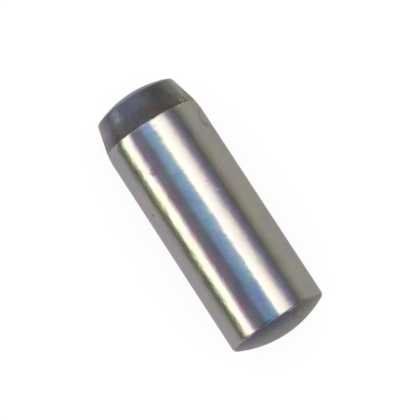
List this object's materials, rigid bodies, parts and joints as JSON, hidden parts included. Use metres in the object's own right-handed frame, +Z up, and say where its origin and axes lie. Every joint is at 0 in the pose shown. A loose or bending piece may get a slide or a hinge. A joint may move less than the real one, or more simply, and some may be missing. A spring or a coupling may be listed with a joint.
{
  "type": "dowel pin",
  "caption": "Hardened steel parallel dowel pin with a ground cylindrical shank, a tapered and crowned lead end and a crowned plain end.",
  "frame": {"origin": "on the pin's axis, halfway along its whole length", "axes": "+X along the pin's axis towards the plain crowned end, so the lead points to -X; +Z up, with the pin lying on its side"},
  "size_m": [0.0164, 0.006, 0.006],
  "materials": {
    "steel": "ground bright on the shank, dark as heat treated on the taper and both crowned ends"
  },
  "bodies": {
    "root": {"dowel_pin": "steel"}
  },
  "joints": []
}
